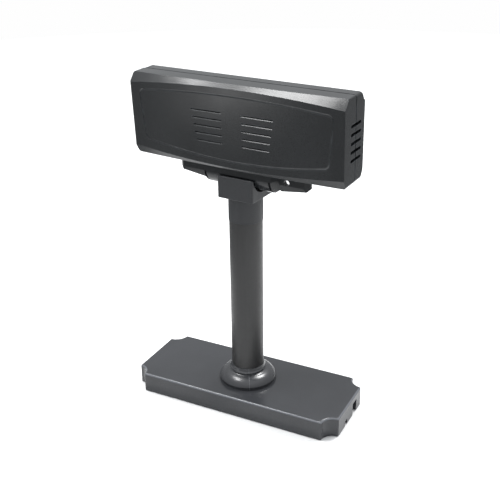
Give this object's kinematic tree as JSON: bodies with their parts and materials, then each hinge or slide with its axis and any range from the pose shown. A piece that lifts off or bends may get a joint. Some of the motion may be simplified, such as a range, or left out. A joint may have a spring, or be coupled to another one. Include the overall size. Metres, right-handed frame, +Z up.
{
  "type": "customer pole display",
  "caption": "Counter-top customer display: a weighted notched base, round pole, and a wide display head that swivels on the pole and tilts in a yoke.",
  "frame": {"origin": "on the floor under the middle of the base, on the pole's axis", "axes": "+Z up along the pole; the screen and the customer are towards -Y, the cashier towards +Y; +X along the base"},
  "size_m": [0.2231, 0.087, 0.327],
  "materials": {
    "charcoal_plastic": "moulded ABS with a fine spark texture",
    "head_plastic": "moulded ABS with a fine spark texture, semi-matt",
    "gloss_plastic": "polished moulded plastic",
    "pole_paint": "drawn tube with satin charcoal coat",
    "black_plastic": "plain moulded plastic",
    "bearing_plastic": "natural acetal",
    "foot_rubber": "soft rubber",
    "ballast_steel": "sheared and zinc-plated",
    "screw_steel": "zinc-plated",
    "board_green": "solder mask",
    "contact_gold": "gold flash",
    "tape_black": "foam tape",
    "smoked_window": "smoked acrylic filter",
    "tube_glass": "soda glass over dark grid",
    "chip_epoxy": "moulded epoxy",
    "ferrite": "ferrite with varnish",
    "capacitor_sleeve": "shrink sleeve",
    "connector_white": "nylon",
    "switch_red": "moulded switch block"
  },
  "bodies": {
    "stand": {"base_cover": "charcoal_plastic", "base_plate": "black_plastic", "base_feet": "foot_rubber", "ballast_plate": "ballast_steel", "base_screws": "screw_steel", "ballast_screws": "screw_steel", "interface_board": "board_green", "interface_screws": "screw_steel", "data_jack": "black_plastic", "data_jack_contacts": "contact_gold", "power_jack": "black_plastic", "power_jack_pin": "screw_steel", "pole_collar": "gloss_plastic", "collar_nut": "black_plastic", "pole_tube": "pole_paint", "pole_lock_screw": "screw_steel", "swivel_bush": "bearing_plastic"},
    "swivel": {"swivel_yoke": "charcoal_plastic", "swivel_clip": "screw_steel", "thrust_ring": "bearing_plastic", "tilt_bolt": "screw_steel", "tilt_nut": "screw_steel", "friction_washers": "screw_steel"},
    "head": {"tilt_bracket": "charcoal_plastic", "bracket_screws": "screw_steel", "rear_cover": "head_plastic", "front_shell": "head_plastic", "cable_grommet": "foot_rubber", "case_screws": "screw_steel", "window_tape": "tape_black", "display_window": "smoked_window", "driver_board": "board_green", "board_screws": "screw_steel", "vfd_glass": "tube_glass", "vfd_leads": "screw_steel", "vfd_pads": "tape_black", "driver_chips": "chip_epoxy", "controller_chip": "chip_epoxy", "converter_coil": "ferrite", "capacitors": "capacitor_sleeve", "head_connector": "connector_white", "code_switch": "switch_red"}
  },
  "joints": [
    {"name": "head_swivel", "type": "hinge", "parent": "stand", "child": "swivel", "pos_m": [0, 0, 0.1946], "axis": [0, 0, 1], "range_deg": [-160.1, 169.9]},
    {"name": "head_tilt", "type": "hinge", "parent": "swivel", "child": "head", "pos_m": [0, 0, 0.2428], "axis": [0.9963, -0.0854, 0], "range_deg": [-25, 15]}
  ]
}
